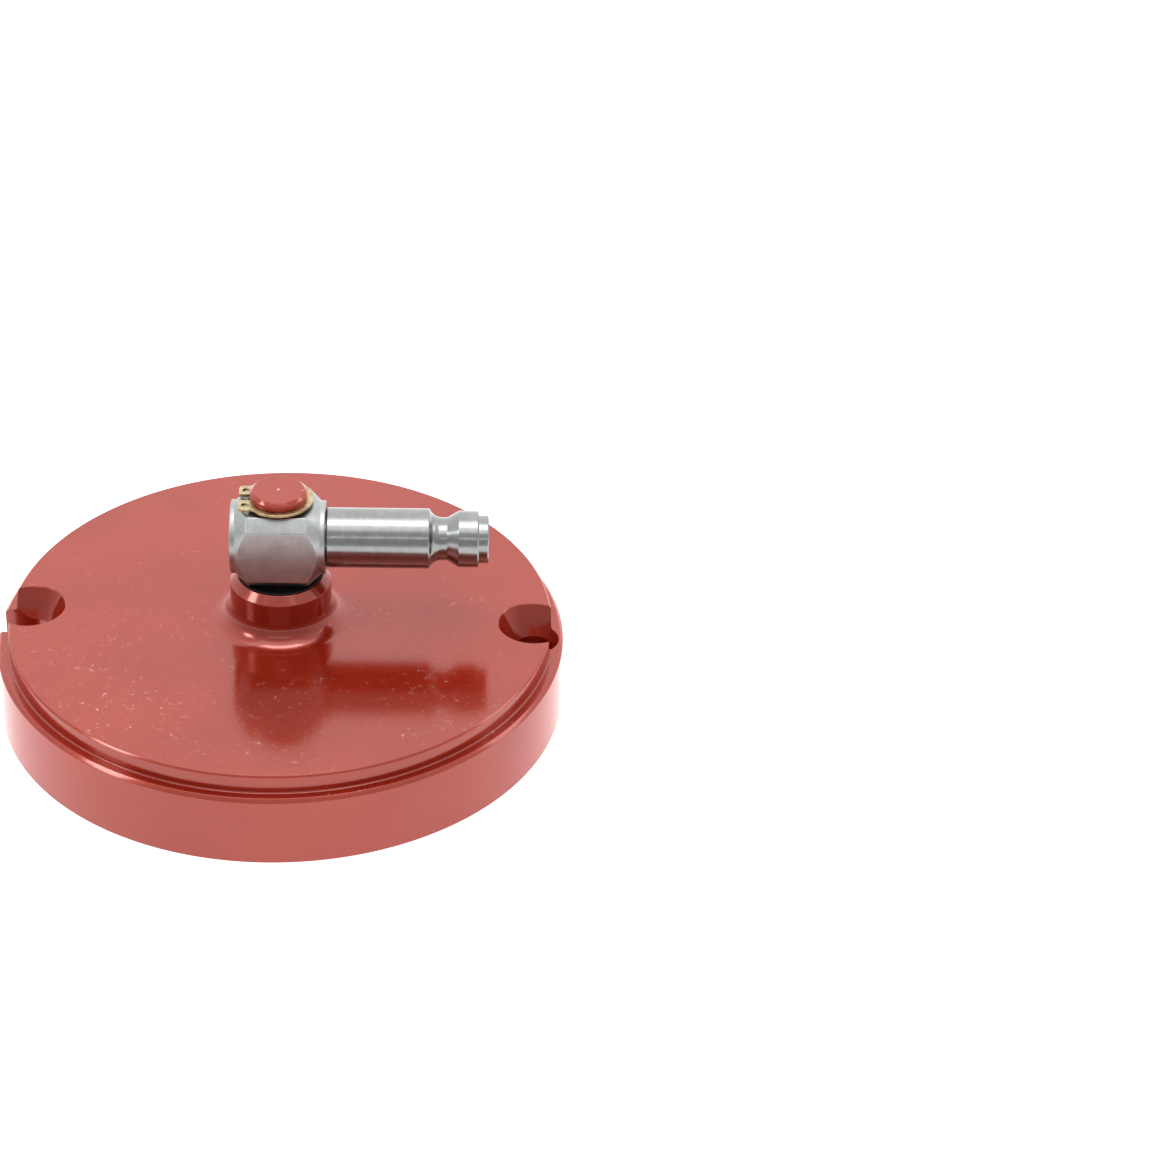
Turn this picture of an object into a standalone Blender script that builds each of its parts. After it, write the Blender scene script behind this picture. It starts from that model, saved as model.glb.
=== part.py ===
"""Vacuum suction cup with a swivelling hose connector, in metres, +Z up.

The cup stands on the face of its centre screw at z = 0. The housing is one turned piece on the
Z axis: a disc with a raised plateau, a boss and a hollow spindle. Its screw hole is on +X and its
open slot on -X. The swivel block turns on the spindle between a thrust washer and a circlip, and
two O-rings seal the air passage that leads from the nipple to the hole in the centre screw.
"""

import math

import bmesh
import bpy

# Housing: the disc. Heights are from the surface that the cup stands on.
OUTER_RADIUS = 0.0500
RING_FACE_Z = 0.0050
FLANGE_Z = RING_FACE_Z + 0.0133
PLATEAU_Z = FLANGE_Z + 0.0034
PLATEAU_RADIUS = 0.0479
PLATEAU_BEVEL = 0.00035
STEP_COVE = 0.0003
RIM_BEVEL = 0.0006
RING_BEVEL = 0.0003

# Housing: the recess that holds the pad.
RECESS_RADIUS = 0.0375
RECESS_DEPTH = 0.0090
RECESS_Z = RING_FACE_Z + RECESS_DEPTH

# Housing: the screw hole and the slot, both countersunk.
PORT_RADIUS = 0.0447
HOLE_RADIUS = 0.00355
COUNTERSINK_RADIUS = 0.00625
COUNTERSINK_HALF_ANGLE = math.radians(27)

# Housing: boss and spindle.
BOSS_RADIUS = 0.0089
BOSS_TOP_Z = PLATEAU_Z + 0.0089
BOSS_CHAMFER = 0.0013
BOSS_FILLET = 0.0035
SPINDLE_RADIUS = 0.0050
SPINDLE_TOP_Z = PLATEAU_Z + 0.0261
SPINDLE_CHAMFER = 0.0006
PASSAGE_RADIUS = 0.0020
CROSS_HOLE_RADIUS = 0.0014
WAIST_RADIUS = 0.0043
WAIST_HEIGHT = 0.0040
O_RING_GROOVE_RADIUS = 0.00395
O_RING_GROOVE_WIDTH = 0.0017
O_RING_SECTION_RADIUS = 0.00050
O_RING_SPACING = 0.0045

# Swivel block: a square bar lying along the nipple's axis.
WASHER_GAP = 0.00005
WASHER_THICKNESS = 0.00025
WASHER_RADIUS = 0.00745
RUNNING_CLEARANCE = 0.0001
BLOCK_BOTTOM_Z = BOSS_TOP_Z + 0.0004
BLOCK_WIDTH = 0.0141
BLOCK_FRONT = 0.0081
BLOCK_BACK = 0.0084
BLOCK_EDGE_CHAMFER = 0.0020
BLOCK_END_RADIUS = 0.00645
BLOCK_END_LENGTH = 0.00085
BLOCK_BORE_CHAMFER = 0.0003
NIPPLE_Z = BLOCK_BOTTOM_Z + BLOCK_WIDTH / 2
BLOCK_TOP_Z = BLOCK_BOTTOM_Z + BLOCK_WIDTH
REST_TURN = math.radians(2.4)

# Circlip in its groove on the spindle.
CIRCLIP_Z = BLOCK_TOP_Z + 0.0006
CIRCLIP_THICKNESS = 0.0005
CIRCLIP_TURN = math.radians(4)
CIRCLIP_INNER_RADIUS = 0.00485
CIRCLIP_OUTER_RADIUS = 0.00605
CIRCLIP_GROOVE_RADIUS = 0.00475
CIRCLIP_GROOVE_PLAY = 0.00005
CIRCLIP_GAP = 0.0019
CIRCLIP_LUG_REACH = 0.0069
CIRCLIP_LUG_WIDTH = 0.0029
CIRCLIP_LUG_HOLE_X = 0.0057
CIRCLIP_LUG_HOLE_RADIUS = 0.0006

# Nipple: a quick-coupling plug, given as distances from the spindle's axis.
NIPPLE_JOINT_GAP = 0.00015
NIPPLE_TUBE_RADIUS = 0.00525
NIPPLE_TUBE_END = 0.0260
NIPPLE_NECK_RADIUS = 0.00375
NIPPLE_NECK_COVE = 0.0022
NIPPLE_NECK_END = 0.0292
NIPPLE_HEAD_RADIUS = 0.00495
NIPPLE_HEAD_START = 0.0312
NIPPLE_HEAD_END = 0.0347
NIPPLE_TIP_RADIUS = 0.0042
NIPPLE_TIP_END = 0.0365
NIPPLE_EDGE = 0.0002
NIPPLE_BORE_RADIUS = 0.0022
NIPPLE_SHANK_RADIUS = 0.0040
NIPPLE_SHANK_START = 0.0055
THREAD_CLEARANCE = 0.00015
NIPPLE_SEAT_RADIUS = 0.00495
NIPPLE_SEAT_DEPTH = 0.0012

# Centre screw: hollow, with a thin flat flange.
SCREW_FLANGE_RADIUS = 0.0075
SCREW_FLANGE_THICKNESS = 0.0010
SCREW_FLANGE_CHAMFER = 0.0006
SCREW_SHANK_RADIUS = 0.0040
SCREW_BORE_RADIUS = 0.0022
SCREW_END_Z = RECESS_Z + 0.0065
SCREW_END_ROOM = 0.0005
SCREW_SEAL_RADIUS = 0.0056
SCREW_SEAL_DEPTH = 0.0014
SCREW_SEAL_SECTION = 0.00055

# Pad: a rubber skin over an aluminium former. DOME_RADIUS is that of the skin's sphere.
SEAT_GAP = 0.0003
DOME_RADIUS = 0.0800
DOME_CENTRE_R = 0.0082
DOME_CENTRE_Z = 0.0005
DIMPLE_RADIUS = 0.0079
PAD_EDGE_ROUND = 0.0040
PAD_SKIN = 0.0022
PAD_WALL = 0.0017
PAD_LIP_THICKNESS = 0.0015
PAD_INNER_CHAMFER = 0.0006
PAD_LIP_RADIUS = 0.0310
PAD_BORE_RADIUS = SCREW_SHANK_RADIUS + SEAT_GAP

TURN_STEPS = 48
SMALL_TURN_STEPS = 32


def clear_scene():
    for thing in list(bpy.data.objects):
        bpy.data.objects.remove(thing, do_unlink=True)


def new_collection(name):
    collection = bpy.data.collections.new(name)
    bpy.context.scene.collection.children.link(collection)
    return collection


def new_material(name, color, roughness, metallic):
    material = bpy.data.materials.new(name)
    material.use_nodes = True
    shader = material.node_tree.nodes["Principled BSDF"]
    shader.inputs["Base Color"].default_value = (*color, 1.0)
    shader.inputs["Roughness"].default_value = roughness
    shader.inputs["Metallic"].default_value = metallic
    return material


def add_object(name, mesh, collection, material=None):
    thing = bpy.data.objects.new(name, mesh)
    collection.objects.link(thing)
    if material:
        mesh.materials.append(material)
    return thing


def arc(centre, radius, start, end, steps):
    """Points along an arc in the (r, z) plane, from angle start to angle end, in degrees."""
    angles = [math.radians(start + (end - start) * i / steps) for i in range(steps + 1)]
    return [(centre[0] + radius * math.cos(a), centre[1] + radius * math.sin(a)) for a in angles]


def turned(name, profile, collection, material=None, closed=False, steps=TURN_STEPS):
    """A solid turned about Z from (r, z) points that run down its outer side."""
    mesh = bpy.data.meshes.new(name)
    points = [(r, 0.0, z) for r, z in profile]
    edges = [(i, i + 1) for i in range(len(points) - 1)]
    if closed:
        edges.append((len(points) - 1, 0))
    mesh.from_pydata(points, edges, [])
    thing = add_object(name, mesh, collection, material)
    screw = thing.modifiers.new("Turn", "SCREW")
    screw.axis = "Z"
    screw.steps = screw.render_steps = steps
    screw.use_merge_vertices = True
    screw.merge_threshold = 0.00001
    screw.use_smooth_shade = True
    return thing


def cut(thing, cutter, operation="DIFFERENCE"):
    boolean = thing.modifiers.new(cutter.name, "BOOLEAN")
    boolean.operation = operation
    boolean.object = cutter
    boolean.solver = "EXACT"
    cutter.hide_render = True
    cutter.display_type = "WIRE"


def box(name, low, high, collection, material=None):
    mesh = bpy.data.meshes.new(name)
    cage = bmesh.new()
    bmesh.ops.create_cube(cage, size=1.0)
    for vertex in cage.verts:
        vertex.co = [lo + (c + 0.5) * (hi - lo) for c, lo, hi in zip(vertex.co, low, high)]
    cage.to_mesh(mesh)
    cage.free()
    return add_object(name, mesh, collection, material)


def groove(centre_z, width, radius):
    """A square groove in the spindle, from its upper edge to its lower one."""
    top, bottom = centre_z + width / 2, centre_z - width / 2
    return [(SPINDLE_RADIUS, top), (radius, top), (radius, bottom), (SPINDLE_RADIUS, bottom)]


def housing_profile():
    outline = [(0.0, SPINDLE_TOP_Z), (SPINDLE_RADIUS - SPINDLE_CHAMFER, SPINDLE_TOP_Z)]
    outline.append((SPINDLE_RADIUS, SPINDLE_TOP_Z - SPINDLE_CHAMFER))
    clip_centre = CIRCLIP_Z + CIRCLIP_THICKNESS / 2
    clip_width = CIRCLIP_THICKNESS + 2 * CIRCLIP_GROOVE_PLAY
    outline += groove(clip_centre, clip_width, CIRCLIP_GROOVE_RADIUS)
    outline += groove(NIPPLE_Z + O_RING_SPACING, O_RING_GROOVE_WIDTH, O_RING_GROOVE_RADIUS)
    outline += groove(NIPPLE_Z, WAIST_HEIGHT, WAIST_RADIUS)
    outline += groove(NIPPLE_Z - O_RING_SPACING, O_RING_GROOVE_WIDTH, O_RING_GROOVE_RADIUS)
    outline += [(SPINDLE_RADIUS, BOSS_TOP_Z), (BOSS_RADIUS - BOSS_CHAMFER, BOSS_TOP_Z)]
    outline.append((BOSS_RADIUS, BOSS_TOP_Z - BOSS_CHAMFER))
    outline += arc((BOSS_RADIUS + BOSS_FILLET, PLATEAU_Z + BOSS_FILLET), BOSS_FILLET, 180, 270, 5)
    outline += [(PLATEAU_RADIUS - PLATEAU_BEVEL, PLATEAU_Z), (PLATEAU_RADIUS, PLATEAU_Z - PLATEAU_BEVEL)]
    outline += [(PLATEAU_RADIUS, FLANGE_Z + STEP_COVE), (PLATEAU_RADIUS + STEP_COVE, FLANGE_Z)]
    outline += [(OUTER_RADIUS - RIM_BEVEL, FLANGE_Z), (OUTER_RADIUS, FLANGE_Z - RIM_BEVEL)]
    outline += [(OUTER_RADIUS, RING_FACE_Z + RING_BEVEL), (OUTER_RADIUS - RING_BEVEL, RING_FACE_Z)]
    outline += [(RECESS_RADIUS + RING_BEVEL, RING_FACE_Z), (RECESS_RADIUS, RING_FACE_Z + RING_BEVEL)]
    outline += [(RECESS_RADIUS, RECESS_Z), (SCREW_SEAL_RADIUS, RECESS_Z)]
    thread = SCREW_SHANK_RADIUS + THREAD_CLEARANCE
    hole_end = SCREW_END_Z + SCREW_END_ROOM
    outline += [(SCREW_SEAL_RADIUS, RECESS_Z + SCREW_SEAL_DEPTH), (thread, RECESS_Z + SCREW_SEAL_DEPTH)]
    outline += [(thread, hole_end), (PASSAGE_RADIUS, hole_end)]
    passage_end = NIPPLE_Z + CROSS_HOLE_RADIUS
    outline += [(PASSAGE_RADIUS, passage_end), (0.0, passage_end + PASSAGE_RADIUS / 2)]
    return outline


def port_cutter(name, x, cutters):
    """The countersink and the hole below it, as one turned cutter at (x, 0)."""
    slope = math.tan(COUNTERSINK_HALF_ANGLE)
    over = 0.002
    cone_z = PLATEAU_Z - (COUNTERSINK_RADIUS - HOLE_RADIUS) / slope
    profile = [(0.0, PLATEAU_Z + over), (COUNTERSINK_RADIUS + over * slope, PLATEAU_Z + over)]
    profile += [(HOLE_RADIUS, cone_z), (HOLE_RADIUS, RING_FACE_Z - over), (0.0, RING_FACE_Z - over)]
    cutter = turned(name, profile, cutters, steps=SMALL_TURN_STEPS)
    cutter.location.x = x
    return cutter


def make_housing(parts, cutters, material):
    housing = turned("housing", housing_profile(), parts, material)
    cut(housing, port_cutter("hole_cutter", PORT_RADIUS, cutters))
    cut(housing, port_cutter("slot_end_cutter", -PORT_RADIUS, cutters))
    over = 0.002
    low = (-OUTER_RADIUS - over, -HOLE_RADIUS, RING_FACE_Z - over)
    high = (-PORT_RADIUS, HOLE_RADIUS, PLATEAU_Z + over)
    cut(housing, box("slot_cutter", low, high, cutters))
    reach = SPINDLE_RADIUS + over
    profile = [(0.0, reach), (CROSS_HOLE_RADIUS, reach), (CROSS_HOLE_RADIUS, -reach), (0.0, -reach)]
    cross = turned("cross_hole_cutter", profile, cutters, steps=16)
    cross.rotation_euler.y = math.pi / 2
    cross.location.z = NIPPLE_Z
    cut(housing, cross)
    return housing


def torus_profile(ring_radius, section_radius, centre_z):
    return arc((ring_radius, centre_z), section_radius, 90, -225, 7)


def make_o_ring(name, ring_radius, section_radius, centre_z, parts, material):
    profile = torus_profile(ring_radius, section_radius, centre_z)
    return turned(name, profile, parts, material, closed=True, steps=SMALL_TURN_STEPS)


def make_spindle_seals(parts, material):
    ring_radius = (O_RING_GROOVE_RADIUS + SPINDLE_RADIUS + RUNNING_CLEARANCE) / 2
    for name, side in (("lower_o_ring", -1), ("upper_o_ring", 1)):
        centre_z = NIPPLE_Z + side * O_RING_SPACING
        make_o_ring(name, ring_radius, O_RING_SECTION_RADIUS, centre_z, parts, material)


def make_thrust_washer(parts, material):
    top = BOSS_TOP_Z + WASHER_GAP + WASHER_THICKNESS
    bottom = BOSS_TOP_Z + WASHER_GAP
    inner = SPINDLE_RADIUS + RUNNING_CLEARANCE
    profile = [(inner, top), (WASHER_RADIUS, top), (WASHER_RADIUS, bottom), (inner, bottom)]
    return turned("thrust_washer", profile, parts, material, closed=True, steps=SMALL_TURN_STEPS)


def circlip_outline():
    """The circlip's outline seen from above: two arcs joined at -X by a lug on each side of the gap."""
    half_gap = CIRCLIP_GAP / 2
    inner_angle = math.degrees(math.asin(half_gap / CIRCLIP_INNER_RADIUS))
    lug_side = half_gap + CIRCLIP_LUG_WIDTH
    outer_angle = math.degrees(math.asin(lug_side / CIRCLIP_OUTER_RADIUS))
    inner = arc((0, 0), CIRCLIP_INNER_RADIUS, 180 - inner_angle, -180 + inner_angle, 40)
    outer = arc((0, 0), CIRCLIP_OUTER_RADIUS, -180 + outer_angle, 180 - outer_angle, 40)
    round_corner = CIRCLIP_LUG_WIDTH / 3
    lower = [(-CIRCLIP_LUG_REACH, -half_gap), (-CIRCLIP_LUG_REACH, -lug_side + round_corner)]
    lower.append((-CIRCLIP_LUG_REACH + round_corner, -lug_side))
    upper = [(x, -y) for x, y in reversed(lower)]
    return inner + lower + outer + upper


def make_circlip(parts, material):
    curve = bpy.data.curves.new("circlip", "CURVE")
    curve.dimensions = "2D"
    curve.fill_mode = "BOTH"
    curve.extrude = CIRCLIP_THICKNESS / 2
    hole_y = (CIRCLIP_GAP + CIRCLIP_LUG_WIDTH) / 2
    outlines = [circlip_outline()]
    for side in (-1, 1):
        outlines.append(arc((-CIRCLIP_LUG_HOLE_X, side * hole_y), CIRCLIP_LUG_HOLE_RADIUS, 0, 330, 11))
    for outline in outlines:
        spline = curve.splines.new("POLY")
        spline.points.add(len(outline) - 1)
        for point, (x, y) in zip(spline.points, outline):
            point.co = (x, y, 0.0, 1.0)
        spline.use_cyclic_u = True
    circlip = add_object("circlip", curve, parts, material)
    circlip.location.z = CIRCLIP_Z + CIRCLIP_THICKNESS / 2
    circlip.rotation_euler.z = CIRCLIP_TURN
    return circlip


def add_axis_empty(parts):
    """An empty on the swivel's axis, at the nipple's height. Its children are along its own X."""
    axis = bpy.data.objects.new("swivel_axis", None)
    parts.objects.link(axis)
    axis.location.z = NIPPLE_Z
    axis.rotation_euler.z = REST_TURN
    return axis


def lay_along_x(thing, axis):
    """A piece turned about Z is laid along the parent's X."""
    thing.parent = axis
    thing.rotation_euler.y = math.pi / 2


def block_end_profile():
    """A cylinder round the bar with a cone and a round land at each end; z is along the bar."""
    corner = math.hypot(BLOCK_WIDTH, BLOCK_WIDTH) / 2 + 0.001
    cone = corner - BLOCK_END_RADIUS
    front, back = BLOCK_FRONT - BLOCK_END_LENGTH, BLOCK_END_LENGTH - BLOCK_BACK
    profile = [(0.0, BLOCK_FRONT), (BLOCK_END_RADIUS, BLOCK_FRONT), (BLOCK_END_RADIUS, front)]
    profile += [(corner, front - cone), (corner, back + cone), (BLOCK_END_RADIUS, back)]
    profile += [(BLOCK_END_RADIUS, -BLOCK_BACK), (0.0, -BLOCK_BACK)]
    return profile


def make_swivel_block(parts, cutters, axis, material):
    half = BLOCK_WIDTH / 2
    over = 0.002
    low = (-BLOCK_BACK - over, -half, -half)
    high = (BLOCK_FRONT + over, half, half)
    block = box("swivel_block", low, high, parts, material)
    block.parent = axis
    cage = bmesh.new()
    cage.from_mesh(block.data)
    long_edges = [e for e in cage.edges if abs(e.verts[0].co.x - e.verts[1].co.x) > half]
    bmesh.ops.bevel(cage, geom=long_edges, offset=BLOCK_EDGE_CHAMFER, segments=1, affect="EDGES")
    cage.to_mesh(block.data)
    cage.free()
    ends = turned("block_end_shape", block_end_profile(), cutters)
    lay_along_x(ends, axis)
    cut(block, ends, "INTERSECT")
    bore = SPINDLE_RADIUS + RUNNING_CLEARANCE
    wide = bore + BLOCK_BORE_CHAMFER + over
    profile = [(0.0, half + over), (wide, half + over), (bore, half - BLOCK_BORE_CHAMFER)]
    profile += [(bore, -half + BLOCK_BORE_CHAMFER), (wide, -half - over), (0.0, -half - over)]
    bore_cutter = turned("block_bore_cutter", profile, cutters)
    bore_cutter.parent = axis
    cut(block, bore_cutter)
    thread = NIPPLE_SHANK_RADIUS + THREAD_CLEARANCE
    seat = BLOCK_FRONT - NIPPLE_SEAT_DEPTH
    profile = [(0.0, BLOCK_FRONT + over), (NIPPLE_SEAT_RADIUS, BLOCK_FRONT + over)]
    profile.append((NIPPLE_SEAT_RADIUS, seat))
    profile += [(thread, seat), (thread, WAIST_RADIUS / 2), (0.0, WAIST_RADIUS / 2)]
    seat_cutter = turned("nipple_seat_cutter", profile, cutters, steps=SMALL_TURN_STEPS)
    lay_along_x(seat_cutter, axis)
    cut(block, seat_cutter)
    return block


def nipple_profile():
    """(r, distance from the spindle axis) from the tip back to the shank, then along the bore."""
    mouth = NIPPLE_BORE_RADIUS + NIPPLE_EDGE
    outline = [(mouth, NIPPLE_TIP_END), (NIPPLE_TIP_RADIUS - NIPPLE_EDGE, NIPPLE_TIP_END)]
    outline += [(NIPPLE_TIP_RADIUS, NIPPLE_TIP_END - NIPPLE_EDGE), (NIPPLE_TIP_RADIUS, NIPPLE_HEAD_END)]
    outline += [(NIPPLE_HEAD_RADIUS - NIPPLE_EDGE, NIPPLE_HEAD_END)]
    outline += [(NIPPLE_HEAD_RADIUS, NIPPLE_HEAD_END - NIPPLE_EDGE), (NIPPLE_HEAD_RADIUS, NIPPLE_HEAD_START)]
    outline += [(NIPPLE_NECK_RADIUS, NIPPLE_NECK_END)]
    cove_centre = (NIPPLE_NECK_RADIUS + NIPPLE_NECK_COVE, NIPPLE_TUBE_END + NIPPLE_NECK_COVE)
    cove_height = NIPPLE_TUBE_RADIUS - NIPPLE_NECK_RADIUS
    cove_end = math.degrees(math.acos(1 - cove_height / NIPPLE_NECK_COVE))
    outline += arc(cove_centre, NIPPLE_NECK_COVE, 180, 180 + cove_end, 4)
    outline += [(NIPPLE_TUBE_RADIUS, NIPPLE_TUBE_END), (NIPPLE_TUBE_RADIUS, BLOCK_FRONT + NIPPLE_JOINT_GAP)]
    outline.append((NIPPLE_SHANK_RADIUS, BLOCK_FRONT + NIPPLE_JOINT_GAP))
    outline.append((NIPPLE_SHANK_RADIUS, NIPPLE_SHANK_START))
    outline += [(NIPPLE_BORE_RADIUS, NIPPLE_SHANK_START), (NIPPLE_BORE_RADIUS, NIPPLE_TIP_END - NIPPLE_EDGE)]
    return outline


def make_nipple(parts, axis, steel, rubber):
    nipple = turned("coupling_nipple", nipple_profile(), parts, steel, closed=True, steps=SMALL_TURN_STEPS)
    lay_along_x(nipple, axis)
    ring_radius = (NIPPLE_SHANK_RADIUS + NIPPLE_SEAT_RADIUS) / 2
    centre = BLOCK_FRONT - NIPPLE_SEAT_DEPTH / 2
    section = (NIPPLE_SEAT_RADIUS - NIPPLE_SHANK_RADIUS) / 2 - RUNNING_CLEARANCE
    seal = make_o_ring("nipple_o_ring", ring_radius, section, centre, parts, rubber)
    lay_along_x(seal, axis)


def dome_z(radius, sphere=DOME_RADIUS):
    """Height of the domed face at a radius, on a sphere that shares the skin's centre."""
    centre_z = DOME_CENTRE_Z + math.sqrt(DOME_RADIUS**2 - DOME_CENTRE_R**2)
    return centre_z - math.sqrt(sphere**2 - radius**2)


def dome(start, end, steps, sphere=DOME_RADIUS):
    radii = [start + (end - start) * i / steps for i in range(steps + 1)]
    return [(r, dome_z(r, sphere)) for r in radii]


def pad_profile():
    """The skin's section. Its face looks down, so its top runs outwards and its side runs down."""
    outer = RECESS_RADIUS - SEAT_GAP
    top = RECESS_Z - SEAT_GAP
    lip_bottom = top - PAD_LIP_THICKNESS
    inner_wall = outer - PAD_WALL
    inner_sphere = DOME_RADIUS - PAD_SKIN
    # The edge's arc touches the sphere where its outermost point reaches the side wall.
    tangent_r = (outer - PAD_EDGE_ROUND) / (1 - PAD_EDGE_ROUND / DOME_RADIUS)
    slope = math.degrees(math.asin(tangent_r / DOME_RADIUS))
    round_z = dome_z(tangent_r) + PAD_EDGE_ROUND * math.cos(math.radians(slope))
    seat_z = SCREW_FLANGE_THICKNESS + SEAT_GAP
    outline = [(PAD_LIP_RADIUS, top), (outer, top)]
    outline += arc((outer - PAD_EDGE_ROUND, round_z), PAD_EDGE_ROUND, 0, slope - 90, 5)
    outline += dome(tangent_r, DOME_CENTRE_R, 8)[1:]
    outline += [(DIMPLE_RADIUS, seat_z), (PAD_BORE_RADIUS, seat_z)]
    outline += dome(PAD_BORE_RADIUS, inner_wall - PAD_INNER_CHAMFER, 8, inner_sphere)
    outline += [(inner_wall, dome_z(inner_wall, inner_sphere) + PAD_INNER_CHAMFER)]
    outline += [(inner_wall, lip_bottom), (PAD_LIP_RADIUS, lip_bottom)]
    return outline


def make_pad(parts, rubber, metal):
    turned("suction_pad", pad_profile(), parts, rubber, closed=True)
    top = RECESS_Z - SEAT_GAP
    lip_bottom = top - PAD_LIP_THICKNESS
    outer = RECESS_RADIUS - 2 * SEAT_GAP - PAD_WALL
    sphere = DOME_RADIUS - PAD_SKIN - SEAT_GAP
    edge = outer - PAD_INNER_CHAMFER
    rebate = PAD_LIP_RADIUS - SEAT_GAP
    bore = PAD_BORE_RADIUS
    profile = [(bore, top), (rebate, top), (rebate, lip_bottom - SEAT_GAP), (outer, lip_bottom - SEAT_GAP)]
    profile += [(outer, dome_z(outer, sphere) + PAD_INNER_CHAMFER)]
    profile += dome(edge, bore, 8, sphere)
    turned("pad_former", profile, parts, metal, closed=True)


def make_centre_screw(parts, steel, rubber):
    chamfer = SCREW_FLANGE_CHAMFER
    bore = SCREW_BORE_RADIUS
    profile = [(bore, SCREW_END_Z), (SCREW_SHANK_RADIUS, SCREW_END_Z)]
    profile += [(SCREW_SHANK_RADIUS, SCREW_FLANGE_THICKNESS), (SCREW_FLANGE_RADIUS, SCREW_FLANGE_THICKNESS)]
    profile += [(SCREW_FLANGE_RADIUS, chamfer), (SCREW_FLANGE_RADIUS - chamfer, 0.0)]
    profile += [(bore + NIPPLE_EDGE, 0.0), (bore, NIPPLE_EDGE)]
    turned("centre_screw", profile, parts, steel, closed=True, steps=SMALL_TURN_STEPS)
    ring_radius = (SCREW_SHANK_RADIUS + SCREW_SEAL_RADIUS) / 2
    centre_z = RECESS_Z + SCREW_SEAL_DEPTH / 2
    make_o_ring("screw_o_ring", ring_radius, SCREW_SEAL_SECTION, centre_z, parts, rubber)


def main():
    clear_scene()
    parts = new_collection("vacuum_suction_cup")
    cutters = new_collection("cutters")
    red = new_material("red_anodised", (0.45, 0.06, 0.04), 0.22, 1.0)
    steel = new_material("turned_steel", (0.60, 0.60, 0.59), 0.28, 1.0)
    zinc = new_material("yellow_zinc", (0.55, 0.45, 0.27), 0.35, 1.0)
    aluminium = new_material("plain_aluminium", (0.72, 0.72, 0.73), 0.35, 1.0)
    rubber = new_material("black_rubber", (0.018, 0.018, 0.020), 0.45, 0.0)
    nylon = new_material("black_nylon", (0.02, 0.02, 0.02), 0.5, 0.0)
    make_housing(parts, cutters, red)
    make_spindle_seals(parts, rubber)
    make_thrust_washer(parts, nylon)
    make_circlip(parts, zinc)
    axis = add_axis_empty(parts)
    make_swivel_block(parts, cutters, axis, steel)
    make_nipple(parts, axis, steel, rubber)
    make_pad(parts, rubber, aluminium)
    make_centre_screw(parts, steel, rubber)


main()
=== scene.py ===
"""A vacuum suction cup with a swivelling hose connector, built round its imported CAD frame.

Lengths in the tables below are in millimetres, and MM turns them into metres. Profiles are rows of
(radius, height, rounding): the rounding is the radius of the arc that replaces that corner.
"""

import math

import bmesh
import bpy
import numpy as np
from bpy.props import FloatProperty, FloatVectorProperty, IntProperty, PointerProperty
from mathutils import Matrix, Vector


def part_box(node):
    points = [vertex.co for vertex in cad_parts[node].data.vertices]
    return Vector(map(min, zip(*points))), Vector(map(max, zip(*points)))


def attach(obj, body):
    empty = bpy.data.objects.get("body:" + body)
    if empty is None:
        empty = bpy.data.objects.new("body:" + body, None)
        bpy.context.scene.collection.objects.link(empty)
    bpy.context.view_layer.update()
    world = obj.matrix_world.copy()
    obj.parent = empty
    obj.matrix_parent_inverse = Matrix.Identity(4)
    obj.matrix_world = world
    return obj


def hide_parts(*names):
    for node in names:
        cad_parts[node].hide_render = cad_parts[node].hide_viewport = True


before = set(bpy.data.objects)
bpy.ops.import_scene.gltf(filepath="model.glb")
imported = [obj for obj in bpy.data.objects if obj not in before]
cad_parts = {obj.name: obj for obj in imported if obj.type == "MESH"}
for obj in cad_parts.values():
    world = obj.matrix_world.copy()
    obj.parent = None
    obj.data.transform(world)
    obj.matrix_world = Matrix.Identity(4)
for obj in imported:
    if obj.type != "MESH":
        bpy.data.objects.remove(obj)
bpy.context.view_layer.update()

bl_info = {
    "name": "Vacuum suction cup",
    "version": (1, 0, 0),
    "blender": (4, 5, 0),
    "location": "3D View > Sidebar > Suction Cup",
    "description": "Turned red housing, domed pad and swivelling hose connector",
    "category": "Add Mesh",
}

MM = 0.001

# Shading: edges sharper than this stay sharp, and arcs are cut into steps no larger than this.
SHARP_EDGE = math.radians(20)
ARC_STEP = math.radians(11)

# Places in the CAD model, and the turn at which its swivel rests.
NIPPLE_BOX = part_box("coupling_nipple")
HOUSING_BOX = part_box("housing")
CLIP_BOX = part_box("circlip")
NIPPLE_HEIGHT = (NIPPLE_BOX[0].z + NIPPLE_BOX[1].z) / 2 / MM
BLOCK_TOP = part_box("swivel_block")[1].z / MM
REST_TURN = math.radians(2.4)

# Sizes that several pieces share.
SPINDLE = 5.0
BOSS_TOP = 30.6
PLATEAU = 21.7
RING_FACE = 5.0
PORT_REACH = 44.7
PORT_HALF_WIDTH = 3.55
BLOCK_HALF = 7.05
DOME = 80.0

# How far a cutter runs past the faces that it cuts.
OVERRUN = 2.0

# Masks that keep the part of a place that lies across the Z axis or the X axis.
ACROSS_Z = (1, 1, 0)
ACROSS_X = (0, 1, 1)

# Each soft light: its name, its place and its size in metres, and its radiance.
SOFTBOXES = (
    ("overhead_softbox", (0.0, -0.08, 1.0), (1.0, 0.96), 0.75),
    ("overhead_core", (0.0, 0.02, 0.99), (0.54, 0.28), 3.1),
    ("left_softbox", (-0.80, -0.28, 0.70), (0.26, 0.26), 5.0),
    ("right_softbox", (0.95, 0.25, 0.60), (0.40, 0.30), 1.6),
    ("front_strip", (0.0, -0.99, 0.70), (0.90, 0.035), 3.2),
)


# Surfaces -----------------------------------------------------------------------------------


def unit(vector):
    """The vector divided by its length."""
    return vector / np.linalg.norm(vector)


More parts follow.
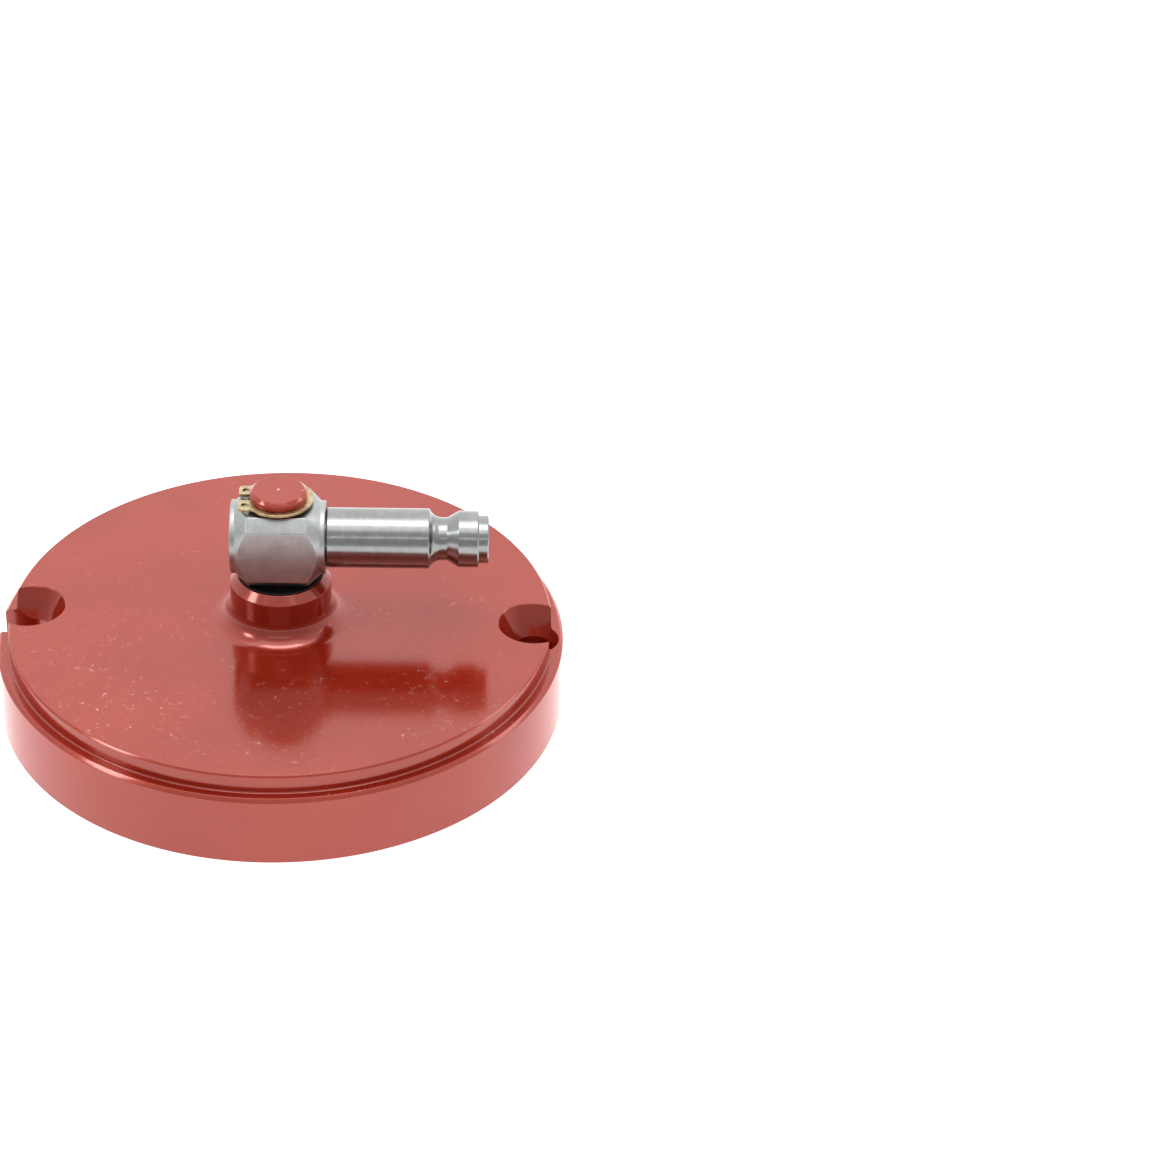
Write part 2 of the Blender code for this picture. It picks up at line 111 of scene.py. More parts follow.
def corner_arc(before, corner, after, radius):
    """The arc of that radius which touches both sides of a corner, as a few points.

    Each side is touched at radius / tan(half the inside angle) from the corner, and the centre
    lies on the bisector at radius / sin(half the inside angle).
    """
    a, b = unit(before - corner), unit(after - corner)
    half = math.acos(float(np.clip(a @ b, -1, 1))) / 2
    centre = corner + unit(a + b) * radius / math.sin(half)
    start = corner + a * radius / math.tan(half) - centre
    sweep = math.pi - 2 * half
    side = np.sign(start[0] * (b - a)[1] - start[1] * (b - a)[0])
    turn = np.linspace(0, side * sweep, max(2, math.ceil(sweep / ARC_STEP)) + 1)
    return centre + np.stack(
        [start[0] * np.cos(turn) - start[1] * np.sin(turn),
         start[0] * np.sin(turn) + start[1] * np.cos(turn)], axis=1)


def rounded(rows, closed=False):
    """A profile with its corners rounded, and with a guard point near each end of a long side.

    The guard points keep the shading of a flat face flat right up to its rounded edge.
    """
    guard_gap, long_side, merged = 0.12, 0.8, 1e-6
    rows = np.array(rows, float)
    points, count = rows[:, :2], len(rows)
    runs = []
    for i, radius in enumerate(rows[:, 2]):
        open_end = not closed and i in (0, count - 1)
        if radius == 0 or open_end:
            runs.append(points[i:i + 1])
        else:
            runs.append(corner_arc(points[i - 1], points[i], points[(i + 1) % count], radius))
    line = np.concatenate(runs + ([runs[0][:1]] if closed else []))
    step = np.diff(line, axis=0)
    length = np.linalg.norm(step, axis=1)
    guard = np.clip(guard_gap / np.maximum(length, 1e-9), 0, 0.5)
    shares = np.stack([np.zeros_like(guard), guard, 1 - guard], axis=1)
    shares[length < long_side, 1:] = 0
    dense = (line[:-1, None] + shares[:, :, None] * step[:, None]).reshape(-1, 2)
    if not closed:
        dense = np.concatenate([dense, line[-1:]])
    kept = np.ones(len(dense), bool)
    kept[1:] = np.linalg.norm(np.diff(dense, axis=0), axis=1) > merged
    return dense[kept]


def grid_faces(rows, columns, close_rows=False):
    """Quads of a grid whose columns close on themselves, and whose rows may too."""
    down = np.arange(rows if close_rows else rows - 1)[:, None]
    across = np.arange(columns)[None, :]
    below, beside = (down + 1) % rows, (across + 1) % columns
    corners = [down * columns + across, below * columns + across,
               below * columns + beside, down * columns + beside]
    return np.stack(corners, axis=-1).reshape(-1, 4).tolist()


def turned_surface(profile, steps, closed=False):
    """A profile turned about Z: the point (i, j) is (r_i cos a_j, r_i sin a_j, h_i)."""
    angle = np.linspace(0, 2 * math.pi, steps, endpoint=False)
    radius, height = profile[:, :1], profile[:, 1:]
    grid = np.stack(np.broadcast_arrays(radius * np.cos(angle), radius * np.sin(angle), height), -1)
    return grid.reshape(-1, 3), grid_faces(len(profile), steps, closed)


def prism(outline, low, high):
    """A flat outline carried straight up from low to high, with both ends closed."""
    count = len(outline)
    points = np.concatenate([np.c_[outline, np.full(count, low)], np.c_[outline, np.full(count, high)]])
    around = np.arange(count)
    beside = (around + 1) % count
    sides = np.stack([around, beside, beside + count, around + count], axis=1).tolist()
    return points, sides + [around[::-1].tolist(), (around + count).tolist()]


def laid_along_x(points):
    """A shape on the Z axis turned a quarter turn, so that its top points to +X."""
    return np.stack([points[:, 2], points[:, 1], -points[:, 0]], axis=1)


def spun(points, degrees):
    """Points turned about Z."""
    c, s = math.cos(math.radians(degrees)), math.sin(math.radians(degrees))
    return points @ np.array([[c, s, 0], [-s, c, 0], [0, 0, 1]])


def on_swivel(points, turn):
    """A shape on the Z axis laid along the nipple's axis, at its height and at the rest turn."""
    return spun(laid_along_x(points), turn) + (0, 0, NIPPLE_HEIGHT)


# Meshes and objects -------------------------------------------------------------------------


def build_mesh(name, points, faces):
    """A mesh from points in millimetres, with coincident points merged and normals outward."""
    mesh = bpy.data.meshes.new(name)
    mesh.from_pydata((points * MM).tolist(), [], faces)
    cage = bmesh.new()
    cage.from_mesh(mesh)
    bmesh.ops.remove_doubles(cage, verts=cage.verts, dist=1e-7)
    bmesh.ops.recalc_face_normals(cage, faces=cage.faces)
    cage.to_mesh(mesh)
    cage.free()
    return mesh


def add_piece(name, points, faces):
    """The piece as an object at the origin, in the open scene."""
    piece = bpy.data.objects.new(name, build_mesh(name, points, faces))
    bpy.context.scene.collection.objects.link(piece)
    return piece


def turned_cutter(name, profile, place=lambda points: points, steps=96):
    """A turned shape to cut with, put in place by a function of its points."""
    points, faces = turned_surface(np.array(profile, float), steps)
    return add_piece(name, place(points), faces)


def apply_modifiers(piece):
    """Makes the shape that the modifiers give the piece's own mesh."""
    graph = bpy.context.evaluated_depsgraph_get()
    finished = bpy.data.meshes.new_from_object(piece.evaluated_get(graph))
    old = piece.data
    piece.modifiers.clear()
    piece.data = finished
    finished.name = piece.name + "_mesh"
    bpy.data.meshes.remove(old)


def cut_away(piece, cutters):
    """Cuts each cutter's shape out of the piece, then removes the cutters."""
    for cutter in cutters:
        boolean = piece.modifiers.new(cutter.name, "BOOLEAN")
        boolean.operation = "DIFFERENCE"
        boolean.solver = "EXACT"
        boolean.object = cutter
    apply_modifiers(piece)
    for cutter in cutters:
        bpy.data.objects.remove(cutter, do_unlink=True)


def finish_piece(piece, body, node, material):
    """Shades the piece, and puts it on its body in place of its CAD node."""
    if not piece.data.polygons:
        raise RuntimeError(f"{piece.name} came out empty")
    piece.data.shade_smooth()
    piece.data.set_sharp_from_angle(angle=SHARP_EDGE)
    piece.data.materials.clear()
    piece.data.materials.append(material)
    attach(piece, body)
    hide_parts(node)


# Profiles -----------------------------------------------------------------------------------


def groove(floor, low, high, edge=0.0):
    """A square groove round the spindle, from its upper side down to its lower one."""
    return [(SPINDLE, high, edge), (floor, high, 0), (floor, low, 0), (SPINDLE, low, edge)]


def housing_profile():
    """The turned outline from the spindle's top, out and down to the ring, and back in to the bore.

    It passes the grooves for the circlip, the seals and the air, then the boss, the plateau, the
    step, the flange, the ring, the recess for the pad, the screw's seat and the air passage.
    """
    top, rim = HOUSING_BOX[1].z / MM, HOUSING_BOX[1].x / MM
    clip_low, clip_high = CLIP_BOX[0].z / MM - 0.05, CLIP_BOX[1].z / MM + 0.05
    upper_seal, lower_seal = NIPPLE_HEIGHT + 4.5, NIPPLE_HEIGHT - 4.5
    seal_half, seal_floor = 0.85, 3.95
    boss, boss_chamfer, boss_fillet = 8.9, 1.35, 3.5
    step, step_chamfer = 47.9, 0.32
    flange, flange_chamfer = PLATEAU - 3.4, 0.6
    ring_edge, recess_edge = 0.35, 0.3
    recess, recess_top = 37.5, 14.0
    seat, seat_top = 5.6, 15.4
    thread, thread_top = 4.15, 21.0
    bore, bore_top = 2.0, NIPPLE_HEIGHT + 1.4
    return rounded([
        (0, top - 0.25, 0), (0.25, top, 0.08), (SPINDLE - 0.58, top, 0.1), (SPINDLE, top - 0.58, 0.12),
        *groove(4.75, clip_low, clip_high, 0.04),
        *groove(seal_floor, upper_seal - seal_half, upper_seal + seal_half),
        *groove(4.3, NIPPLE_HEIGHT - 2, NIPPLE_HEIGHT + 2),
        *groove(seal_floor, lower_seal - seal_half, lower_seal + seal_half),
        (SPINDLE, BOSS_TOP, 0), (boss - boss_chamfer, BOSS_TOP, 0.12),
        (boss, BOSS_TOP - boss_chamfer, 0.18), (boss, PLATEAU, boss_fillet),
        (step - step_chamfer, PLATEAU, 0.1), (step, PLATEAU - step_chamfer, 0.1), (step, flange, 0.34),
        (rim - flange_chamfer, flange, 0.14), (rim, flange - flange_chamfer, 0.14),
        (rim, RING_FACE + ring_edge, 0.12), (rim - ring_edge, RING_FACE, 0.1),
        (recess + recess_edge, RING_FACE, 0.08), (recess, RING_FACE + recess_edge, 0.08),
        (recess, recess_top, 0.4), (seat, recess_top, 0), (seat, seat_top, 0), (thread, seat_top, 0),
        (thread, thread_top, 0), (bore, thread_top, 0), (bore, bore_top, 0), (0, bore_top + 1, 0),
    ])


def port_profile():
    """The countersink, the screw hole under it, and the hole's broken lower edge."""
    countersink, mouth, edge = 6.25, 6.37, 0.2
    slope = math.tan(math.radians(27))
    depth = (countersink - PORT_HALF_WIDTH) / slope
    high, low = PLATEAU + OVERRUN, RING_FACE - OVERRUN
    return np.array([
        (0, high), (mouth + OVERRUN * slope, high), (mouth, PLATEAU), (6.2, PLATEAU - 0.14),
        (PORT_HALF_WIDTH, PLATEAU - depth), (PORT_HALF_WIDTH, RING_FACE + edge),
        (PORT_HALF_WIDTH + edge, RING_FACE), (PORT_HALF_WIDTH + edge + OVERRUN, low), (0, low),
    ], float)


def slot_outline():
    """The slot seen from above: two straight walls that flare out on small arcs at the rim."""
    flare_radius, flare_start, outside = 0.45, 49.55, 52.0
    flare = np.linspace(0, math.pi / 2, 7)
    x = -flare_start - flare_radius * np.sin(flare)
    y = PORT_HALF_WIDTH + flare_radius * (1 - np.cos(flare))
    wall = np.stack([np.r_[-PORT_REACH, x, -outside], np.r_[PORT_HALF_WIDTH, y, y[-1]]], axis=1)
    return np.concatenate([wall, (wall * (1, -1))[::-1]])


def nipple_profile():
    """The quick-coupling plug from its tip back to the shank, then along its bore.

    The cove behind the neck is an arc: its radius is neck + cove (1 + cos a), and its place along
    the axis is cove_middle + cove sin a.
    """
    nose, collar, neck, shank, spigot, bore = 4.2, 4.95, 3.75, 5.25, 4.0, 2.2
    tip = (NIPPLE_BOX[1].x / MM - nose * math.sin(REST_TURN)) / math.cos(REST_TURN)
    collar_front, collar_back, cone_foot, cove_end = 34.75, 31.25, 29.25, 26.0
    front, spigot_end, edge = 8.25, 5.5, 0.2
    cove, cove_middle, cove_limit = 2.3, 28.25, 5.2
    angle = np.linspace(math.pi, math.pi * 1.42, 9)
    cove_rows = np.stack(
        [neck + cove * (1 + np.cos(angle)), cove_middle + cove * np.sin(angle), 0 * angle], axis=1)
    return rounded([
        (bore + 0.25, tip, 0.08), (nose - edge, tip, 0.12), (nose, tip - edge, 0.08),
        (nose, collar_front, 0.06), (collar - edge, collar_front, 0.1), (collar, collar_front - edge, 0.1),
        (collar, collar_back, 0.25), (neck, cone_foot, 0.35),
        *cove_rows[cove_rows[:, 0] < cove_limit].tolist(),
        (shank, cove_end, 0.08), (shank, front + 0.22, 0.05), (shank - edge, front, 0.04),
        (spigot, front, 0), (spigot, spigot_end, 0), (bore, spigot_end, 0), (bore, tip - 0.25, 0),
    ], closed=True)


def dome_height(radius, sphere=DOME):
    """Height on a sphere that bulges down: centre - sqrt(sphere^2 - radius^2).

    The centre lies where a sphere of radius DOME passes the edge of the dimple for the screw.
    """
    dimple, dimple_height = 8.2, 0.5
    centre = dimple_height + math.sqrt(DOME**2 - dimple**2)
    return centre - np.sqrt(sphere**2 - radius**2)


def pad_profile():
    """The rubber skin: lip, rounded edge, shallow dome, dimple for the screw, and its inner side.

    The edge is an arc about (hub, centre). It touches the dome at the radius hub / (1 - edge / DOME).
    """
    outside, edge, skin = 37.2, 4.0, 2.2
    lip, lip_top, lip_foot = 31.0, 13.7, 12.2
    inside, inside_foot = 35.5, 11.45
    hub = outside - edge
    touch = hub / (1 - edge / DOME)
    centre = dome_height(touch) + edge * math.cos(math.asin(touch / DOME))
    angle = np.linspace(0, math.radians(24.8 - 90), 16)
    edge_rows = np.stack([hub + edge * np.cos(angle), centre + edge * np.sin(angle), 0 * angle], axis=1)
    inward = np.linspace(touch, 8.3, 40)[1:-1]
    dome_rows = np.stack([inward, dome_height(inward), 0 * inward], axis=1)
    outward = np.linspace(4.3, 34.9, 12)
    inner_rows = np.stack([outward, dome_height(outward, DOME - skin), 0 * outward], axis=1)
    return rounded([
        (lip, lip_top, 0), (outside, lip_top, 0.3), *edge_rows.tolist(), *dome_rows.tolist(),
        (8.25, 0.53, 0.2), (7.95, 1.3, 0.1), (4.3, 1.3, 0), *inner_rows.tolist(),
        (inside, inside_foot, 0), (inside, lip_foot, 0), (lip, lip_foot, 0),
    ], closed=True)


def screw_profile():
    """The hollow screw: shank, thin flange with a turned chamfer, and its bore."""
    bore, shank, flange = 2.2, 4.0, 7.5
    length, flange_top, chamfer, bore_edge = 20.5, 1.0, 0.55, 0.3
    return rounded([
        (bore, length, 0), (shank, length, 0.3), (shank, flange_top, 0), (flange, flange_top, 0.08),
        (flange, chamfer, 0.08), (flange - chamfer, 0, 0.1), (bore + bore_edge, 0, 0.06),
        (bore, bore_edge, 0.06),
    ], closed=True)


def washer_profile():
    """The flat ring between the boss and the block."""
    inner, outer = 5.1, 7.45
    low, high = BOSS_TOP + 0.05, BOSS_TOP + 0.3
    return rounded(
        [(inner, high, 0.05), (outer, high, 0.08), (outer, low, 0.08), (inner, low, 0.05)], closed=True)


# Shapes that aren't turned ------------------------------------------------------------------


def block_surface(turn):
    """The square bar with its long edges chamfered and both ends turned to a cone and a round land.

    The point (i, j) lies in the direction of outline point j. Its radius is the outline's on the
    bar, and less on the cone, which meets the outline where x = land - (outline radius - land radius).
    """
    half, flat = BLOCK_HALF, 5.05
    land, land_length, edge = 6.45, 0.85, 0.12
    front, back = 8.1, -8.4
    face_steps, chamfer_steps = 34, 12
    corners = np.array([(half, -flat), (half, flat), (flat, half), (-flat, half),
                        (-half, flat), (-half, -flat), (-flat, -half), (flat, -half)])
    steps = (face_steps, chamfer_steps) * 4
    outline = np.concatenate([
        a + np.linspace(0, 1, count, endpoint=False)[:, None] * (b - a)
        for a, b, count in zip(corners, np.roll(corners, -1, 0), steps)])
    reach = np.linalg.norm(outline, axis=1)
    ones = np.ones_like(reach)
    rows = []
    for end, side in ((front, 1), (back, -1)):
        run = [
            (end * ones, 0 * ones),
            (end * ones, (land - edge) * ones),
            ((end - side * edge) * ones, land * ones),
            ((end - side * land_length) * ones, land * ones),
            (end - side * (land_length + reach - land), reach),
        ]
        rows += run[::side]
    along, radius = (np.array(values) for values in zip(*rows))
    direction = outline / reach[:, None]
    points = np.stack([radius * direction[:, 0], radius * direction[:, 1], along], axis=-1)
    return on_swivel(points.reshape(-1, 3), turn), grid_faces(len(rows), len(outline))


def circlip_surface(turn, low, high):
    """The circlip as a rounded strip swept from one lug round to the other.

    The inner line is an arc. The outer line follows the lug's outline and then a wider arc. The
    two are sampled by arc length, and the section runs across between them at each step.
    """
    inner_radius, outer_radius, half_gap = 4.85, 6.05, 0.95
    lug_end, lug_side, neck = -6.9, 3.85, (-3.3, 5.07)
    edge, foot = 0.09, 0.02
    lug = rounded([(lug_end, half_gap, 0), (lug_end, lug_side, 0.75), (-4.45, lug_side, 1.6), (*neck, 0)])
    arc = np.linspace(math.atan2(neck[1], neck[0]), 0, 40)[1:]
    outer = np.concatenate([lug, outer_radius * np.stack([np.cos(arc), np.sin(arc)], axis=1)])
    travelled = np.r_[0, np.cumsum(np.linalg.norm(np.diff(outer, axis=0), axis=1))]
    sample = np.linspace(0, travelled[-1], 110)
    outer = np.stack([np.interp(sample, travelled, outer[:, k]) for k in (0, 1)], axis=1)
    widest = math.atan2(half_gap, -math.sqrt(inner_radius**2 - half_gap**2))
    swing = np.clip(np.arctan2(outer[:, 1], outer[:, 0]), 0, widest)
    inner = inner_radius * np.stack([np.cos(swing), np.sin(swing)], axis=1)
    inner, outer = (np.concatenate([half, (half * (1, -1))[-2::-1]]) for half in (inner, outer))
    width = np.linalg.norm(outer - inner, axis=1)
    # Rows of the section: 0 on the inner line or 1 on the outer, the inset in edges, and the height.
    section = np.array([
        (0, 0, low + edge), (0, 0, high - edge), (0, 0.4, high - edge * 0.3), (0, 1.2, high),
        (1, -1.2, high), (1, -0.4, high - edge * 0.3), (1, 0, high - edge), (1, 0, low + edge),
        (1, -0.3, low + foot), (1, -1, low), (0, 1, low), (0, 0.3, low + foot),
    ])
    side, inset, height = section.T[:, :, None]
    across = side + inset * edge / width
    flat = inner + across[:, :, None] * (outer - inner)
    count, length = across.shape
    lift = np.broadcast_to(height[:, :, None], (count, length, 1))
    points = np.concatenate([flat, lift], axis=-1).reshape(-1, 3)
    i, j = np.meshgrid(np.arange(count), np.arange(length - 1), indexing="ij")
    here, beside = i * length + j, (i + 1) % count * length + j
    faces = np.stack([here, beside, beside + 1, here + 1], axis=-1).reshape(-1, 4).tolist()
    first = np.arange(count) * length
    return spun(points, turn), faces + [first.tolist(), (first + length - 1).tolist()]


# Shader nodes -------------------------------------------------------------------------------


def add_node(tree, kind, inputs=(), **settings):
    """Adds a shader node. An input takes a value, or another node's output."""
    node = tree.nodes.new(kind)
    for name, value in settings.items():
        setattr(node, name, value)
    for key, value in dict(inputs).items():
        if isinstance(value, bpy.types.NodeSocket):
            tree.links.new(value, node.inputs[key])
        else:
            node.inputs[key].default_value = value
    return node


def feed(tree, shader, **sources):
    """Links each output to the shader's input of that name, where _ stands for a space."""
    for key, source in sources.items():
        tree.links.new(source, shader.inputs[key.replace("_", " ")])


def calculate(tree, operation, a, b=0.0):
    """One Math node."""
    return add_node(tree, "ShaderNodeMath", {0: a, 1: b}, operation=operation).outputs[0]


def vector_result(tree, operation, a, b=(0.0, 0.0, 0.0), output="Vector"):
    """One Vector Math node."""
    return add_node(tree, "ShaderNodeVectorMath", {0: a, 1: b}, operation=operation).outputs[output]


def along(tree, place, direction):
    """How far a place lies along a direction."""
    return vector_result(tree, "DOT_PRODUCT", place, direction, "Value")


def off_axis(tree, place, mask):
    """How far a place lies from the axis that the mask leaves out."""
    return vector_result(tree, "LENGTH", vector_result(tree, "MULTIPLY", place, mask), output="Value")


def spread(tree, value, low, high, to_low, to_high):
    """A value mapped from one range to another, and kept inside it."""
    ranges = {"Value": value, "From Min": low, "From Max": high, "To Min": to_low, "To Max": to_high}
    return add_node(tree, "ShaderNodeMapRange", ranges).outputs[0]


def blend_colour(tree, share, a, b):
    """Two colours mixed by a share from 0 to 1."""
    return add_node(tree, "ShaderNodeMix", {0: share, 6: a, 7: b}, data_type="RGBA").outputs[2]


def toned(colour, factor, lift=0.0):
    """The colour made darker or lighter, with its alpha."""
    return (*(min(1.0, c * factor + lift) for c in colour), 1.0)


def bump(tree, height, depth_mm, **under):
    """A bump whose full height is depth_mm, over another bump if Normal is given."""
    inputs = {"Height": height, "Distance": depth_mm * MM, "Strength": 1.0, **under}
    return add_node(tree, "ShaderNodeBump", inputs).outputs["Normal"]


# Patterns -----------------------------------------------------------------------------------


def noise(tree, mm, scale, detail=3.0, roughness=0.55):
    """Soft 3-D noise with a given number of lumps to the millimetre."""
    inputs = {"Vector": mm, "Scale": scale, "Detail": detail, "Roughness": roughness}
    return add_node(tree, "ShaderNodeTexNoise", inputs).outputs["Fac"]


def turning_marks(tree, mm, mask, pitch):
    """Rings left by a turning tool: 1-D noise along the distance from the axis plus the place along it."""
    lengthwise = along(tree, mm, tuple(1 - part for part in mask))
    place = calculate(tree, "ADD", off_axis(tree, mm, mask), calculate(tree, "MULTIPLY", lengthwise, 0.83))
    inputs = {"W": place, "Scale": 1 / pitch, "Detail": 4.0, "Roughness": 0.7}
    return add_node(tree, "ShaderNodeTexNoise", inputs, noise_dimensions="1D").outputs["Fac"]


def specks(tree, mm, spacing, size, share):
    """Scattered dots: the middle of each random cell, in a small share of the cells."""
    cells = add_node(tree, "ShaderNodeTexVoronoi", {"Vector": mm, "Scale": 1 / spacing, "Randomness": 1.0})
    near = spread(tree, cells.outputs["Distance"], size / spacing * 0.5, size / spacing, 1.0, 0.0)
    pick = add_node(tree, "ShaderNodeSeparateColor", {"Color": cells.outputs["Color"]}).outputs[0]
    return calculate(tree, "MULTIPLY", near, calculate(tree, "GREATER_THAN", pick, 1 - share))


def hairs(tree, mm, lumps, width, share):
    """Short curled fibres: thin contour lines of one noise, kept only where another noise is high."""
    line = calculate(tree, "ABSOLUTE", calculate(tree, "SUBTRACT", noise(tree, mm, lumps, 1.0), 0.5))
    thin = spread(tree, line, 0.0, width, 1.0, 0.0)
    shifted = vector_result(tree, "ADD", mm, (31.0, 17.0, 5.0))
    kept = spread(tree, noise(tree, shifted, lumps * 0.9, 1.0), 1 - share, 1 - share + 0.03, 0.0, 1.0)
    return calculate(tree, "MULTIPLY", thin, kept)


def loose_dust(tree, mm, fine, coarse, fibres):
    """Fine specks, coarse specks and fibres together, each from its own three settings."""
    dots = calculate(tree, "MAXIMUM", specks(tree, mm, *fine), specks(tree, mm, *coarse))
    return calculate(tree, "MAXIMUM", dots, hairs(tree, mm, *fibres))


def facing_up(tree):
    """1 on faces that point up, where dust settles, and 0 on walls and undersides."""
    normal = add_node(tree, "ShaderNodeTexCoord").outputs["Normal"]
    up = add_node(tree, "ShaderNodeSeparateXYZ", {0: normal}).outputs["Z"]
    return spread(tree, up, 0.6, 0.9, 0.0, 1.0)


# Finishes -----------------------------------------------------------------------------------


def start_finish(name, **constants):
    """A material with its shader, and the piece's own coordinates in millimetres."""
    material = bpy.data.materials.new(name)
    material.use_nodes = True
    tree = material.node_tree
    shader = tree.nodes["Principled BSDF"]
    for key, value in constants.items():
        shader.inputs[key.replace("_", " ")].default_value = value
    place = add_node(tree, "ShaderNodeTexCoord").outputs["Object"]
    return material, tree, shader, vector_result(tree, "MULTIPLY", place, (1 / MM, 1 / MM, 1 / MM))


def settled_dust(tree, mm):
    """Dust and fibres on upward faces, in drifts and mostly toward -Y, and a pale dot on the axis."""
    drifts = spread(tree, noise(tree, mm, 0.06, 2.0), 0.42, 0.58, 0.2, 1.0)
    forward = spread(tree, along(tree, mm, (0.25, -1.0, 0.0)), -22.0, 14.0, 0.3, 1.0)
    gathered = calculate(tree, "MULTIPLY", drifts, forward)
    loose = loose_dust(tree, mm, (1.5, 0.10, 0.16), (4.3, 0.19, 0.24), (0.9, 0.012, 0.40))
    centre_dot = spread(tree, off_axis(tree, mm, ACROSS_Z), 0.16, 0.34, 1.0, 0.0)
    settled = calculate(tree, "MAXIMUM", calculate(tree, "MULTIPLY", loose, gathered), centre_dot)
    return calculate(tree, "MULTIPLY", settled, facing_up(tree))


def anodised_finish(name, colour):
    """Anodised aluminium: a soft dyed metal under a clear sealed skin, with turning rings, dust and nicks."""
    pale_dust, dark_nick = (0.80, 0.62, 0.55, 1.0), (0.03, 0.004, 0.003, 1.0)
    material, tree, shader, mm = start_finish(
        name, Metallic=0.46, Specular_IOR_Level=0.0, Specular_Tint=(1.0, 0.30, 0.12, 1.0),
        Coat_Weight=1.0, Coat_IOR=1.72, Coat_Roughness=0.13)
    rings = turning_marks(tree, mm, ACROSS_Z, 0.22)
    clouds = noise(tree, mm, 0.05, 2.0)
    tone = calculate(tree, "ADD", clouds, calculate(tree, "MULTIPLY", rings, 0.25))
    dye = blend_colour(
        tree, spread(tree, tone, 0.45, 0.8, 0.0, 1.0), toned(colour, 0.94), toned(colour, 1.06, 0.003))
    dust = settled_dust(tree, mm)
    nicks = calculate(tree, "MULTIPLY", specks(tree, mm, 7.3, 0.24, 0.14), facing_up(tree))
    dusty = blend_colour(tree, calculate(tree, "MULTIPLY", dust, 0.8), dye, pale_dust)
    marked = blend_colour(tree, calculate(tree, "MULTIPLY", nicks, 0.85), dusty, dark_nick)
    patches = spread(tree, noise(tree, mm, 0.6, 3.0), 0.3, 0.7, 0.25, 0.30)
    sheen = calculate(tree, "ADD", patches, spread(tree, rings, 0.2, 0.8, -0.02, 0.03))
    feed(tree, shader, Base_Color=marked, Roughness=sheen, Normal=bump(tree, rings, 0.0002))
    return material


def steel_finish(name, colour, mask=ACROSS_X, turn=0.0, roughness=0.22, pitch=0.16, depth=0.0012,
                 marks=0.4, rough_grain=0.0012):
    """Bright steel: rings round the axis as strong as marks says, cloudy tone, small stains and grain.

    The axis is Z, or the nipple's where the mask is ACROSS_X: turned by turn degrees, at its height.
    """
    stain = (0.16, 0.15, 0.14, 1.0)
    material, tree, shader, mm = start_finish(name, Metallic=1.0)
    rotation = {"Vector": mm, "Angle": math.radians(-turn)}
    aligned = add_node(tree, "ShaderNodeVectorRotate", rotation, rotation_type="Z_AXIS").outputs[0]
    axis_height = NIPPLE_HEIGHT if mask == ACROSS_X else 0
    centred = vector_result(tree, "SUBTRACT", aligned, (0, 0, axis_height))
    rings = turning_marks(tree, centred, mask, pitch)
    clouds = noise(tree, mm, 0.5, 4.0, 0.65)
    grain = noise(tree, mm, 3.4, 4.0, 0.7)
    tone = calculate(tree, "ADD", calculate(tree, "MULTIPLY", clouds, 1 - marks),
                     calculate(tree, "MULTIPLY", rings, marks))
    plain = blend_colour(
        tree, spread(tree, tone, 0.36, 0.64, 0.0, 1.0), toned(colour, 0.9), toned(colour, 1.08))
    stains = calculate(tree, "MULTIPLY", specks(tree, mm, 3.1, 0.09, 0.12), 0.45)
    feed(tree, shader,
         Base_Color=blend_colour(tree, stains, plain, stain),
         Roughness=spread(tree, grain, 0.3, 0.7, roughness - 0.04, roughness + 0.07),
         Normal=bump(tree, grain, rough_grain, Normal=bump(tree, rings, depth)))
    return material


def zinc_finish(name, colour):
    """Yellow zinc plating on stamped spring steel: patchy straw tone over a fine grain."""
    material, tree, shader, mm = start_finish(name, Metallic=1.0)
    clouds = spread(tree, noise(tree, mm, 0.8, 4.0, 0.65), 0.35, 0.65, 0.0, 1.0)
    grain = noise(tree, mm, 7.0, 3.0)
    deep = (*(c * share for c, share in zip(colour, (0.82, 0.78, 0.66))), 1.0)
    feed(tree, shader,
         Base_Color=blend_colour(tree, clouds, deep, toned(colour, 1.18, 0.03)),
         Roughness=spread(tree, grain, 0.3, 0.7, 0.3, 0.42),
         Normal=bump(tree, grain, 0.0035))
    return material


def rubber_finish(name, colour, lint=1.0):
    """Moulded black rubber: satin, faintly rippled, with pale lint and dust on it."""
    material, tree, shader, mm = start_finish(name, Metallic=0.0, Specular_IOR_Level=0.55)
    clouds = noise(tree, mm, 0.12, 4.0, 0.6)
    grain = noise(tree, mm, 9.0, 2.0)
    base = blend_colour(
        tree, spread(tree, clouds, 0.35, 0.65, 0.0, 1.0), toned(colour, 0.75), toned(colour, 1.4, 0.004))
    loose = loose_dust(tree, mm, (1.2, 0.10, 0.18), (3.9, 0.20, 0.34), (0.8, 0.012, 0.38))
    dust = calculate(tree, "MULTIPLY", loose, 0.45 * lint)
    ripple = calculate(tree, "ADD", clouds, calculate(tree, "MULTIPLY", grain, 0.2))
    feed(tree, shader,
         Base_Color=blend_colour(tree, dust, base, (0.42, 0.4, 0.38, 1.0)),
         Roughness=spread(tree, ripple, 0.4, 0.8, 0.3, 0.44),
         Normal=bump(tree, grain, 0.002))
    return material


def plastic_finish(name, colour):
    """Black bearing plastic: matt, with fine turning rings."""
    material, tree, shader, mm = start_finish(name, Metallic=0.0)
    rings = turning_marks(tree, mm, ACROSS_Z, 0.12)
    feed(tree, shader,
         Base_Color=blend_colour(tree, rings, toned(colour, 0.6), toned(colour, 1.5)),
         Roughness=spread(tree, noise(tree, mm, 3.0), 0.3, 0.7, 0.42, 0.55),
         Normal=bump(tree, rings, 0.002))
    return material


